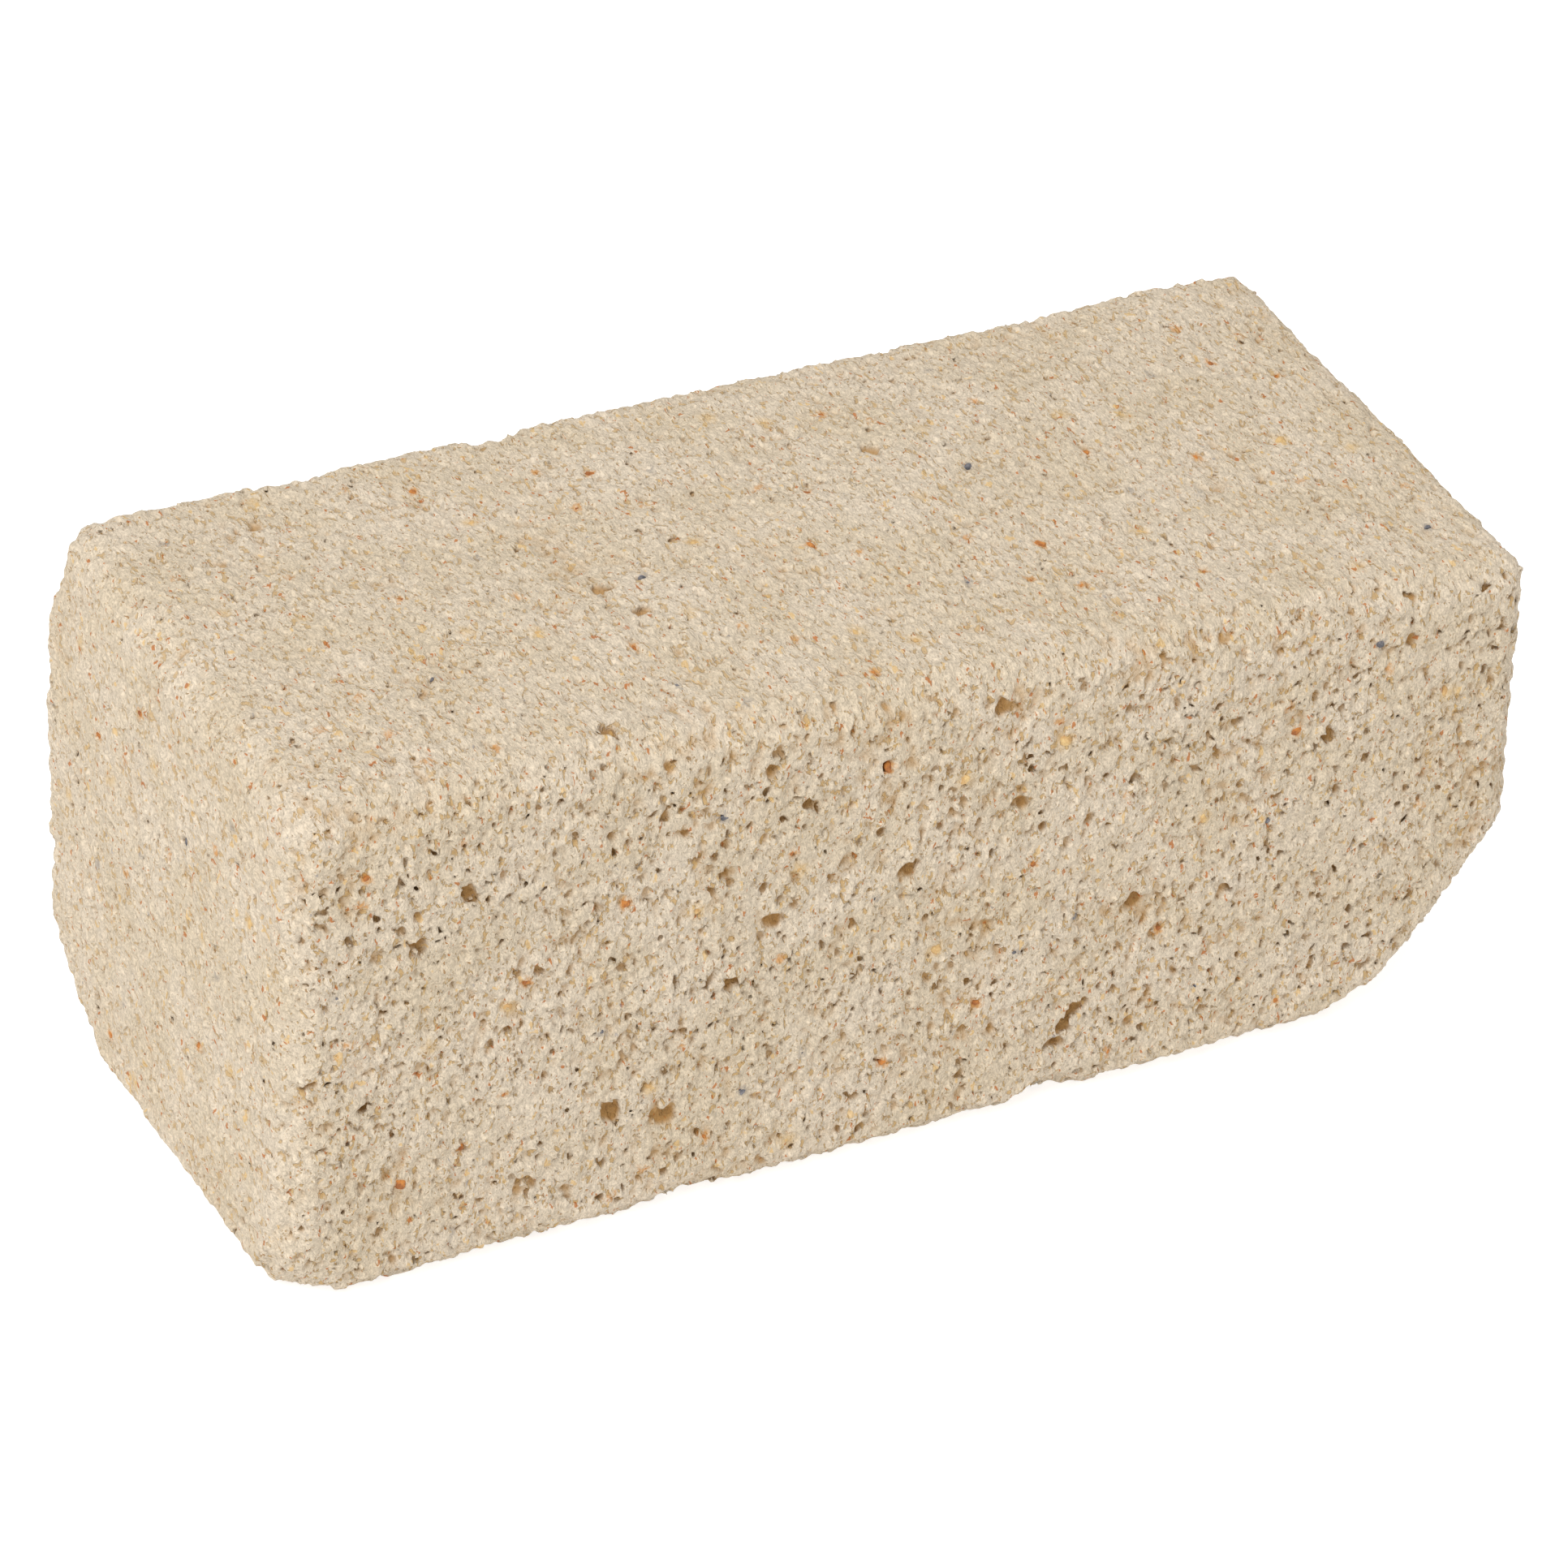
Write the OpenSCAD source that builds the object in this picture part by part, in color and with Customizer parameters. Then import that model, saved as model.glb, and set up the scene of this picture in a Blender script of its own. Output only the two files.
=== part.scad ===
// Gymnastics chalk block: one sawn bar of porous, crumbly mineral with small foreign grains set in it.
// Millimetres. +X runs along the bar, +Y from the front face to the back face, +Z up.
// The origin is at the bottom centre of the bar's box.

/* [Bar] */
// Length of the bar at its foot
length = 100.3; // [80:0.1:120]
// Depth of the bar from the top of its front face to the bulge of its back face
depth = 46.7; // [38:0.1:54]
// Height of the top face along its back edge
height = 43.3; // [36:0.1:52]
// Radius of the rubbed edges and corners
edge_r = 2.4; // [1.2:0.1:3.2]

/* [Sawing errors] */
// How far the top face falls at the front left corner
front_left_drop = 1.6; // [0:0.2:4]
// How far the top face falls at the front right corner
front_right_drop = 5; // [0:0.2:6]
// How far the back face leans in at the top
back_lean = 4.3; // [2:0.1:6]
// How far the foot stands back from the front face
foot_inset = 2.8; // [0:0.2:4]
// How far the foot's back right corner stands in from the right end
foot_skew = 3; // [0:0.5:5]
// How far the left end leans in at the top
left_lean = 1.1; // [0:0.1:3]
// How far the right end leans in at the top
right_lean = 2.1; // [0:0.1:3]

/* [Wear] */
// Length of the worn front right corner along the foot
worn_length = 13.4; // [10:0.2:20]
// Height of the worn front right corner
worn_height = 13.2; // [10:0.2:18]
// Width of the bevel broken off the foot's back edge
back_bevel = 8.4; // [4:0.2:12]
// Size of the blunted front left corner of the foot
blunt = 3; // [1:0.2:4]
// Depth of the chips along the edges
chip_depth = 0.9; // [0.4:0.1:1.2]

/* [Pits and grains] */
// Radius of the smallest open pit
pit_r = 0.5; // [0.4:0.05:0.6]
// Radius of the smallest foreign grain
grain_r = 0.26; // [0.2:0.02:0.42]
// Radius of the smallest ochre grain
ochre_r = 0.34; // [0.26:0.02:0.5]

/* [Hidden] */
$fn = 32;
corner_fn = 20;

// The bar is wrapped round balls of the edge radius. These place a ball's centre against each side.
low = edge_r;
high = height - edge_r;
function left_x(z) = -length / 2 + edge_r + left_lean * z / height;
function right_x(z) = length / 2 - edge_r - right_lean * z / height;
function front_y(z) = -depth / 2 + edge_r + foot_inset * (1 - z / height);
back = depth / 2 - edge_r;
bulge_low = 0.21 * height;
bulge_high = 0.76 * height;

// Ball centres, named by side: front or back, left or right.
foot_fl = [left_x(low), front_y(low), low];
foot_fr = [right_x(low), front_y(low), low];
foot_bl = [left_x(low), back - back_bevel, low];
foot_br = [right_x(low) - foot_skew, back - back_bevel, low];
top_fl = [left_x(high), front_y(high - front_left_drop), high - front_left_drop];
top_fr = [right_x(high), front_y(high - front_right_drop), high - front_right_drop];
top_br = [right_x(high), back - back_lean, high];
top_bl = [left_x(high), back - back_lean, high];
bulge_bl = [left_x(bulge_low), back, bulge_low];
bulge_br = [right_x(bulge_low), back, bulge_low];
bulge_tl = [left_x(bulge_high), back, bulge_high];
bulge_tr = [right_x(bulge_high), back, bulge_high];
// The front left corner of the foot is blunted along each of its three edges, most of all along the bar.
blunt_along = 1.3 * blunt;
blunt_across = 0.9 * blunt;
foot_blunted = [
  foot_fl + [blunt_along, 0, 0],
  foot_fl + [0, blunt_across, 0],
  [left_x(low + blunt), front_y(low + blunt), low + blunt]
];
// The front right corner falls from the end to the foot in steps, as shares of its length and height.
worn_steps = [[0, 1], [0.5, 0.33], [0.65, 0.14], [1, 0]];
function worn_z(s) = low + s[1] * worn_height;
worn = [for (s = worn_steps) [right_x(worn_z(s)) - s[0] * worn_length, front_y(worn_z(s)), worn_z(s)]];
foot = concat(foot_blunted, [foot_bl, foot_br], worn);
top = [top_fl, top_fr, top_br, top_bl];
bulges = [bulge_bl, bulge_br, bulge_tl, bulge_tr];

// Flat faces as a first corner with the two next to it, seen from outside and taken anticlockwise.
front_low = [foot_fl, foot_fr, top_fl];
top_left = [top_bl, top_fl, top_br];
top_right = [top_fr, top_br, top_fl];
back_mid = [bulge_br, bulge_bl, bulge_tr];
back_high = [bulge_tr, bulge_tl, top_br];
back_low = [foot_br + [foot_skew, 0, 0], foot_bl, bulge_br];
underside = [foot_bl, foot_br + [foot_skew, 0, 0], foot_fl];
left_low = left_x(low);
left_end = [[left_low, back, low], foot_fl, [left_x(high), back, high]];
right_end = [foot_fr, [right_x(low), back, low], [right_x(high), front_y(low), high]];

// Scattered marks: each face and how many points the scatter tries on it.
faces = [
  [front_low, 84], [top_left, 104], [top_right, 104], [back_mid, 50],
  [back_high, 22], [back_low, 22], [underside, 60], [left_end, 46], [right_end, 44]
];

function unit(v) = v / norm(v);
function normal(f) = unit(cross(f[1] - f[0], f[2] - f[0]));
// The point at shares u and v along a face's two edges, sunk below its surface.
function on_face(f, u, v, sink) =
  f[0] + u * (f[1] - f[0]) + v * (f[2] - f[0]) + (edge_r - sink) * normal(f);

function fraction(v) = v - floor(v);
// The i-th shares of an even scatter over a face, shaken a little.
function scatter(i) = [
  0.01 + 0.98 * fraction(0.5 + i * 0.7548777 + 0.012 * sin(i * 157)),
  0.01 + 0.98 * fraction(0.5 + i * 0.5698403 + 0.02 * sin(i * 211))
];
// Sizes vary from 1 to 1.8 times the smallest.
function size_of(i) = 1 + 0.8 * fraction(i * 0.381966);

// Large pits of the front face: x from the left end, height above the foot, radius.
front_pits = [
  [29.3, 8.8, 1], [24.9, 10.5, 1.1], [37.1, 23.4, 1], [47.5, 24.9, 1], [54.2, 36, 0.9],
  [66.6, 16.7, 1], [13.5, 32.5, 1], [9.9, 29.2, 0.8], [33.9, 19, 0.8], [33.2, 28.7, 0.8],
  [39, 32.6, 0.8], [81.8, 27.1, 0.8], [74.3, 15.7, 0.8], [6.1, 16.5, 0.8], [56.5, 27.9, 0.7]
];
// Large slots of the front face, each a run of overlapping pits: x, height, radius, run, rise.
front_slots = [[61, 5.8, 0.8, 1.2, 2.4], [36.3, 36, 0.7, 0.2, 1.8]];
// Large pits of the top face: x from the left end, y from the front of the box, radius.
top_pits = [[58.2, 27.6, 0.8], [32.1, 18.3, 0.9], [33.5, 14.5, 0.8], [9, 31.5, 0.7], [25, 6, 0.9]];

span = foot_fr[0] - foot_fl[0];
top_reach = top_bl[1] - top_fl[1];
function front_spot(x, z) = [(x - edge_r) / span, (z - low) / (top_fl[2] - low)];
// The ridge of the top face runs from its front left corner to its back right corner.
function top_spot(x, y) = [(x - edge_r) / span, (y - edge_r) / top_reach];
function over_ridge(s) = s[0] > s[1];
function top_point(s, sink) =
  over_ridge(s) ? on_face(top_right, s[1], 1 - s[0], sink)
  : on_face(top_left, 1 - s[1], s[0], sink);

slot_steps = [0, 0.5, 1];
pit_sink = 0.2;
// Every hand-placed hollow: its centre, its radius and its face's outward direction.
large_pits = [
  for (p = front_pits)
    let (s = front_spot(p[0], p[1]))
      [on_face(front_low, s[0], s[1], pit_sink), p[2], normal(front_low)],
  for (g = front_slots) for (t = slot_steps)
    let (s = front_spot(g[0] + t * g[3], g[1] + t * g[4]))
      [on_face(front_low, s[0], s[1], pit_sink), g[2], normal(front_low)],
  for (p = top_pits)
    let (s = top_spot(p[0], p[1]))
      [top_point(s, pit_sink), p[2], normal(over_ridge(s) ? top_right : top_left)]
];

// Chips: the two ends of the edge, the share along it, the direction out of the edge, the radius
// and the depth in shares of the chip depth. Wide and shallow ones make an edge wavy.
chips = [
  [top_bl, top_br, 0.33, [0, 1, 1], 4, 1.5], [top_bl, top_br, 0.16, [0, 1, 1], 9, 0.9],
  [top_bl, top_br, 0.83, [0, 1, 1], 12, 0.6], [top_fl, top_fr, 0.24, [0, -1, 1], 14, 0.5],
  [top_fl, top_fr, 0.58, [0, -1, 1], 12, 0.5], [foot_fl, foot_fr, 0.6, [0, -1, -1], 4.5, 1.5],
  [foot_fl, foot_fr, 0.3, [0, -1, -1], 8, 1], [bulge_bl, bulge_tl, 0.25, [-1, 1, 0], 4.5, 0.9],
  [bulge_br, bulge_tr, 0.6, [1, 1, 0], 9, 0.8], [foot_bl, foot_br, 0.3, [0, 1, -2], 6, 0.8],
  [foot_bl, foot_br, 0.72, [0, 1, -2], 8, 0.7], [top_fr, top_br, 0.45, [1, 0, 1], 10, 0.6]
];
function chip_centre(c) =
  c[0] + c[2] * (c[1] - c[0]) + (edge_r + c[4] - c[5] * chip_depth) * unit(c[3]);

grain_sink = 0.15;
clear_of_pits = 2.6;
clear_of_chips = 1.4;
clear_of_wear = 4;
function clear(p) =
  min([for (q = large_pits) norm(p - q[0])]) > clear_of_pits
  && min([for (c = chips) norm(p - chip_centre(c)) - c[4]]) > clear_of_chips;
function worn_away(p) =
  (p[0] > length / 2 - worn_length - clear_of_wear && p[2] < worn_height + clear_of_wear)
  || (p[0] < blunt_along + clear_of_wear - length / 2 && p[2] < blunt + clear_of_wear && p[1] < 0);
// Two faces are nearly flat to each other when their directions multiply to more than this.
nearly_flat = 0.9;
hair = 0.02;
// A mark keeps to the flat part of its own face: how far it may stand past another face's ball centres.
function room(own, other) = normal(own) * normal(other) > nearly_flat ? edge_r - grain_sink - hair : 0;
function on_flat(p, own) =
  max([for (f = faces) if (f[0] != own) (p - f[0][0]) * normal(f[0]) - room(own, f[0])]) < 0;

// All scattered marks: centre, size factor, kind number and outward direction.
marks = [
  for (f = faces) for (i = [1:f[1]])
    let (s = scatter(i), p = on_face(f[0], s[0], s[1], grain_sink))
      if (on_flat(p, f[0]) && clear(p) && !worn_away(p))
        [p, size_of(i), i % 5, normal(f[0])]
];
// Kinds 0 and 1 are rust grains, 2 slate, 3 pits and 4 ochre.
function of_kinds(kinds) = [for (m = marks) if (len(search(m[2], kinds)) > 0) m];

// The bar as sawn and rubbed, with no pits or chips.
module rubbed_bar() {
  hull()
    for (p = concat(foot, bulges, top))
      translate(p)
        sphere(r = edge_r, $fn = corner_fn);
}

// A ball whose poles lie along its face's outward direction.
module ball(centre, r, out) {
  translate(centre)
    rotate(a = acos(out[2]), v = cross([0, 0, 1], out))
      sphere(r = r);
}

// Balls at the marks of the named kinds.
module balls(kinds, smallest) {
  for (m = of_kinds(kinds))
    ball(m[0], smallest * m[1], m[3]);
}

module pits() {
  balls([3], pit_r);
  for (p = large_pits)
    ball(p[0], p[1], p[2]);
}

// A ball whose poles lie along the edge, so that only its plain side bites into the bar.
module chip(c) {
  z = unit(c[1] - c[0]);
  x = unit(c[3] - (c[3] * z) * z);
  y = cross(z, x);
  o = chip_centre(c);
  multmatrix([[x[0], y[0], z[0], o[0]], [x[1], y[1], z[1], o[1]], [x[2], y[2], z[2], o[2]], [0, 0, 0, 1]])
    sphere(r = c[4]);
}

module chipped_edges() {
  for (c = chips)
    chip(c);
}

// Foreign grains end flush with the sawn face.
module flush(kinds, smallest) {
  intersection() {
    rubbed_bar();
    balls(kinds, smallest);
  }
}

module chalk_block() {
  color("#d8c7ad")
    difference() {
      rubbed_bar();
      chipped_edges();
      pits();
      balls([0, 1, 2], grain_r);
      balls([4], ochre_r);
    }
}

module rust_grains() {
  color("#b8622c")
    flush([0, 1], grain_r);
}

module slate_grains() {
  color("#4a4a58")
    flush([2], grain_r);
}

module ochre_grains() {
  color("#dcb468")
    flush([4], ochre_r);
}

chalk_block();
rust_grains();
slate_grains();
ochre_grains();
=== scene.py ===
"""A gymnastics chalk block: one sawn bar of porous, crumbly mineral, with small foreign grains set in it.

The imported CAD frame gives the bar's flat faces and every grain's place. Geometry Nodes grow the porous
surface round them, stretch by stretch along the bar, and give each grain its broken shape.
"""

import logging
import math
from dataclasses import dataclass, field
from enum import Enum
from itertools import combinations
from typing import Any, Sequence

import bmesh
import bpy
import numpy as np
from bpy.types import Material, Mesh, Node, NodeSocket, NodeTree, Object
from mathutils import Matrix, Vector


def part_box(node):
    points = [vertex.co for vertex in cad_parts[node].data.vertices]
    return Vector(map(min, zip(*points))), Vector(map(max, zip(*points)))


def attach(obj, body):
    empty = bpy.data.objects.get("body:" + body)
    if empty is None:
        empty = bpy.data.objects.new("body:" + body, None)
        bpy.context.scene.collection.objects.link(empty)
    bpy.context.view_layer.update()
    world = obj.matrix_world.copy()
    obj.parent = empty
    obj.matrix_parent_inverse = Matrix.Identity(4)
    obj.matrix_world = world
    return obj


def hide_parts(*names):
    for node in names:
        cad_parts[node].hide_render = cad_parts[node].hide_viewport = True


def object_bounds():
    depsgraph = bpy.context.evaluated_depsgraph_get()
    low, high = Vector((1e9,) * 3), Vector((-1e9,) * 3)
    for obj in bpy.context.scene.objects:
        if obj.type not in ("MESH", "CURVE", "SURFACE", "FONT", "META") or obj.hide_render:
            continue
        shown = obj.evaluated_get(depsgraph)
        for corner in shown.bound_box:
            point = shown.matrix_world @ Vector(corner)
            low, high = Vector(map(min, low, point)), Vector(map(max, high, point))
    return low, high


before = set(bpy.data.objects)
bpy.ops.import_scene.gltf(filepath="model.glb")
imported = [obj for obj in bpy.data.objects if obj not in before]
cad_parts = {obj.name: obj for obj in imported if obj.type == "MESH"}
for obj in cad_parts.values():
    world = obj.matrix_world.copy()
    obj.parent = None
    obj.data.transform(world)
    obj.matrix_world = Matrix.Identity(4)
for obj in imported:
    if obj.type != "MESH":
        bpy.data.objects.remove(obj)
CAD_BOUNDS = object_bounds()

LOG = logging.getLogger("chalk_block")
MM = 0.001
BODY = "root"
BLOCK_NODE = "chalk_block"
HALF = (0.5, 0.5, 0.5)
Colour = tuple[float, float, float]


def new_tree(name: str, makes: dict[str, Sequence[str]], takes: dict[str, Sequence[str]]) -> NodeTree:
    """An empty geometry tree with its inputs and outputs.

    Args:
        name: The tree's name.
        makes: The outputs' names, by kind of socket.
        takes: The inputs' names, by kind of socket.

    Returns:
        The tree.
    """
    tree = bpy.data.node_groups.new(name, "GeometryNodeTree")
    for way, sockets in (("OUTPUT", makes), ("INPUT", takes)):
        for kind, names in sockets.items():
            for socket in names:
                tree.interface.new_socket(socket, in_out=way, socket_type="NodeSocket" + kind)
    return tree


class GrainKind(Enum):
    """The three foreign minerals, each with its CAD node and material slot."""

    RUST = ("rust_grains", "rust_mineral")
    SLATE = ("slate_grains", "slate_mineral")
    OCHRE = ("ochre_grains", "ochre_mineral")

    @property
    def node(self) -> str:
        """The CAD node that holds the grains."""
        return self.value[0]

    @property
    def slot(self) -> str:
        """The record's material slot."""
        return self.value[1]

    @property
    def near(self) -> str:
        """The attribute that says how near the block's surface is to such a grain."""
        return f"near_{self.name.lower()}"


class Graph:
    """Writes the nodes and links of one node tree."""

    def __init__(self, tree: NodeTree) -> None:
        """Starts on a tree.

        Args:
            tree: A geometry, shader or group tree.
        """
        self.tree = tree

    def add(self, kind: str, **settings: Any) -> Node:
        """Adds one node.

        Args:
            kind: The node's type name.
            settings: Properties to set on it.

        Returns:
            The node.
        """
        node = self.tree.nodes.new(kind)
        for name, value in settings.items():
            setattr(node, name, value)
        return node

    def feed(self, socket: NodeSocket, value: Any) -> None:
        """Links a socket to another, or sets its number.

        Args:
            socket: The input to fill.
            value: An output socket, or a plain value.
        """
        if isinstance(value, NodeSocket):
            self.tree.links.new(value, socket)
        else:
            socket.default_value = value

    def math(self, operation: str, *terms: Any, clamp: bool = False) -> NodeSocket:
        """A number worked out from up to three others.

        Args:
            operation: The Math node's operation.
            terms: Sockets or numbers.
            clamp: Keeps the result between 0 and 1.

        Returns:
            The result.
        """
        node = self.add("ShaderNodeMath", operation=operation, use_clamp=clamp)
        for socket, term in zip(node.inputs, terms):
            self.feed(socket, term)
        return node.outputs[0]

    def vector(self, operation: str, *terms: Any) -> NodeSocket:
        """A vector, or a number from vectors, by a Vector Math node.

        Args:
            operation: The node's operation. SCALE takes its factor second.
            terms: Sockets or values.

        Returns:
            The result.
        """
        node = self.add("ShaderNodeVectorMath", operation=operation)
        sockets = [node.inputs[0], node.inputs["Scale"]] if operation == "SCALE" else node.inputs
        for socket, term in zip(sockets, terms):
            self.feed(socket, term)
        return node.outputs["Value" if operation in ("DOT_PRODUCT", "LENGTH", "DISTANCE") else "Vector"]

    def span(self, value: Any, low: float, high: float, to_low: Any = 0.0, to_high: Any = 1.0) -> NodeSocket:
        """A value eased from one range to another and held at its ends.

        Args:
            value: What is mapped.
            low: Where the range starts.
            high: Where it ends.
            to_low: The result at its start.
            to_high: The result at its end.

        Returns:
            The mapped value.
        """
        node = self.add("ShaderNodeMapRange", interpolation_type="SMOOTHSTEP", clamp=True)
        for socket, term in zip(node.inputs, (value, low, high, to_low, to_high)):
            self.feed(socket, term)
        return node.outputs[0]

    def noise(self, where: Any, size: float, detail: float = 2.0, rough: float = 0.5) -> Node:
        """Soft noise whose lumps have about the given size.

        Args:
            where: The position.
            size: The size of a lump, in the position's unit.
            detail: How many finer layers it has.
            rough: How strong the finer layers are.

        Returns:
            The noise node, with a number and a colour.
        """
        node = self.add("ShaderNodeTexNoise")
        wanted = {"Vector": where, "Scale": 1.0 / size, "Detail": detail, "Roughness": rough}
        for name, value in wanted.items():
            self.feed(node.inputs[name], value)
        return node

    def swing(self, where: Any, size: float, detail: float = 2.0, rough: float = 0.5) -> NodeSocket:
        """Noise from about -1 to 1, with the same arguments as noise.

        Args:
            where: The position.
            size: The size of a lump.
            detail: How many finer layers it has.
            rough: How strong the finer layers are.

        Returns:
            The noise value.
        """
        return self.math("MULTIPLY_ADD", self.noise(where, size, detail, rough).outputs[0], 2.0, -1.0)

    def twist(self, where: Any, size: float, rough: float = 0.5) -> NodeSocket:
        """A random direction that changes from place to place, to bend a pattern with.

        Args:
            where: The position.
            size: The size of a bend.
            rough: How strong the finer bends are.

        Returns:
            A vector of up to about half a unit.
        """
        return self.vector("SUBTRACT", self.noise(where, size, 2.0, rough).outputs["Color"], HALF)

    def shape_of(self, helper: Object) -> NodeSocket:
        """The mesh of a helper object, as it lies.

        Args:
            helper: The object.

        Returns:
            Its geometry.
        """
        info = self.add("GeometryNodeObjectInfo", transform_space="ORIGINAL")
        info.inputs["Object"].default_value = helper
        return info.outputs["Geometry"]

    def named(self, attribute: str) -> NodeSocket:
        """A number stored on the geometry.

        Args:
            attribute: The attribute's name.

        Returns:
            Its value.
        """
        node = self.add("GeometryNodeInputNamedAttribute", data_type="FLOAT")
        node.inputs["Name"].default_value = attribute
        return node.outputs[0]

    def random(self, low: float, high: float, seed: Any) -> NodeSocket:
        """A vector with three random numbers.

        Args:
            low: The least that each can be.
            high: The most.
            seed: The seed.

        Returns:
            The vector.
        """
        node = self.add("FunctionNodeRandomValue", data_type="FLOAT_VECTOR")
        ends = [s for s in node.inputs if s.type == "VECTOR"]
        for socket, value in zip(ends, (low, high)):
            self.feed(socket, (value, value, value))
        self.feed(node.inputs["Seed"], seed)
        return node.outputs[0]

    def parts_of(self, vector: Any) -> Sequence[NodeSocket]:
        """The X, Y and Z of a vector.

        Args:
            vector: The vector.

        Returns:
            Three numbers.
        """
        node = self.add("ShaderNodeSeparateXYZ")
        self.feed(node.inputs[0], vector)
        return node.outputs

    def end(self, geometry: NodeSocket, finish: Material) -> None:
        """Ends a tree: makes its instances real, sets their material and hands them out.

        Args:
            geometry: What the tree made.
            finish: Its material.
        """
        real = self.add("GeometryNodeRealizeInstances")
        self.feed(real.inputs[0], geometry)
        dress = self.add("GeometryNodeSetMaterial")
        self.feed(dress.inputs["Geometry"], real.outputs[0])
        dress.inputs["Material"].default_value = finish
        self.feed(self.add("NodeGroupOutput").inputs[0], dress.outputs[0])


@dataclass
class SawnBar:
    """The bar as it was sawn and rubbed: flat faces, rounded edges and a few chips, all in millimetres.

    The faces come from the CAD node. Set back by the rubbing radius they bound a core, and the bar is all
    that lies within that radius of it.
    """

    rubbed_radius: float = 2.4
    least_width: float = 1.3
    least_triangle: float = 0.4
    coplanar: float = 0.9998
    same_level: float = 0.06
    least_angle: float = 1e-3
    slack: float = 1e-3
    chip_depth: float = 0.9
    chip_blend: float = 0.5
    edge_wear: float = 0.35
    wear_size: float = 4.0
    foot_wear: float = 0.85
    foot_wear_ends: tuple[float, float] = (1.0, 8.0)
    corner_wear: float = 1.3
    face_reach: float = 3.0
    far_inside: float = -100.0
    faces: list[tuple[np.ndarray, float]] = field(default_factory=list)
    core: np.ndarray = field(default_factory=lambda: np.zeros((0, 3)))

    def __post_init__(self) -> None:
        """Reads the faces and works out the core's corners."""
        self.faces = self.read_faces()
        self.core = self.find_core()

    def read_faces(self) -> list[tuple[np.ndarray, float]]:
        """The bar's flat faces, without the narrow strips that round its edges.

        Returns:
            Each face's outward direction and its distance from the origin along it.
        """
        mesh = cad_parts[BLOCK_NODE].data
        mesh.calc_loop_triangles()
        points = np.array([v.co for v in mesh.vertices]) / MM
        corners = points[np.array([t.vertices for t in mesh.loop_triangles])]
        cross = np.cross(corners[:, 1] - corners[:, 0], corners[:, 2] - corners[:, 0])
        area = np.linalg.norm(cross, axis=1) / 2
        out = cross / np.maximum(2 * area, 1e-12)[:, None]
        level = np.einsum("ij,ij->i", out, corners[:, 0])
        left = area > self.least_triangle
        faces = []
        while left.any():
            first = int(np.argmax(np.where(left, area, 0.0)))
            same = (out @ out[first] > self.coplanar) & (abs(level - level[first]) < self.same_level)
            spread = np.ptp(corners[same].reshape(-1, 3), axis=0)
            if area[same].sum() / np.linalg.norm(spread) > self.least_width:
                faces.append((out[first], float(level[first])))
            left &= ~same
            left[first] = False
        return faces

    def find_core(self) -> np.ndarray:
        """The corners of the core, where three set-back faces meet and no other cuts them off.

        Returns:
            The corners as rows.
        """
        out = np.array([f[0] for f in self.faces])
        level = np.array([f[1] for f in self.faces]) - self.rubbed_radius
        corners = []
        for trio in combinations(range(len(level)), 3):
            rows = list(trio)
            if abs(np.linalg.det(out[rows])) > self.least_angle:
                corner = np.linalg.solve(out[rows], level[rows])
                if (out @ corner - level).max() < self.slack:
                    corners.append(corner)
        return np.array(corners)

    def corner(self, x: float, y: float, z: float) -> np.ndarray:
        """The core's corner that lies furthest towards a direction.

        Args:
            x: -1 for the left end or 1 for the right.
            y: -1 for the front or 1 for the back.
            z: -1 for the foot or 1 for the top.

        Returns:
            The corner.
        """
        return self.core[int(np.argmax(self.core @ np.array([x, y, z])))]

    def chips(self) -> list[tuple[np.ndarray, float]]:
        """The chips along the edges, each a ball that bites into the bar.

        Returns:
            Each ball's centre and radius.
        """
        top_back = (self.corner(-1, 1, 3), self.corner(1, 1, 3))
        top_front = (self.corner(-1, -3, 3), self.corner(1, -3, 3))
        foot_front = (self.corner(-1, -3, -3), self.corner(1, -3, -9))
        foot_back = (self.corner(-2, 1, -9), self.corner(2, 1, -9))
        back_left = (self.corner(-3, 3, -1), self.corner(-3, 3, 1))
        back_right = (self.corner(3, 3, -1), self.corner(3, 3, 1))
        top_right = (self.corner(3, -1, 3), self.corner(3, 1, 3))
        rows = (
            (top_back, 0.33, (0, 1, 1), 4.0, 1.5),
            (top_back, 0.16, (0, 1, 1), 9.0, 1.0),
            (top_back, 0.83, (0, 1, 1), 12.0, 0.3),
            (top_front, 0.24, (0, -1, 1), 14.0, 0.6),
            (top_front, 0.58, (0, -1, 1), 12.0, 0.5),
            (foot_front, 0.7, (0, -1, -1), 4.5, 1.7),
            (foot_front, 0.33, (0, -1, -1), 8.0, 1.1),
            (foot_front, 0.14, (0, -1, -1), 6.0, 0.9),
            (back_left, 0.25, (-1, 1, 0), 4.5, 0.9),
            (back_right, 0.6, (1, 1, 0), 9.0, 0.8),
            (foot_back, 0.3, (0, 1, -2), 6.0, 0.8),
            (foot_back, 0.72, (0, 1, -2), 8.0, 0.7),
            (top_right, 0.45, (1, 0, 1), 10.0, 0.2),
        )
        chips = []
        for (start, end), share, towards, radius, depth in rows:
            way = np.array(towards) / np.linalg.norm(towards)
            reach = self.rubbed_radius + radius - depth * self.chip_depth
            chips.append((start + share * (end - start) + reach * way, radius))
        return chips

    def core_object(self) -> Object:
        """The core as a helper mesh, in millimetres, for the distance that Geometry Nodes measure.

        Returns:
            The helper object.
        """
        bm = bmesh.new()
        for corner in self.core:
            bm.verts.new(corner)
        bmesh.ops.remove_doubles(bm, verts=bm.verts, dist=self.slack)
        bmesh.ops.convex_hull(bm, input=bm.verts)
        mesh = bpy.data.meshes.new("bar_core")
        bm.to_mesh(mesh)
        bm.free()
        return link(bpy.data.objects.new("bar_core", mesh))

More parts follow.
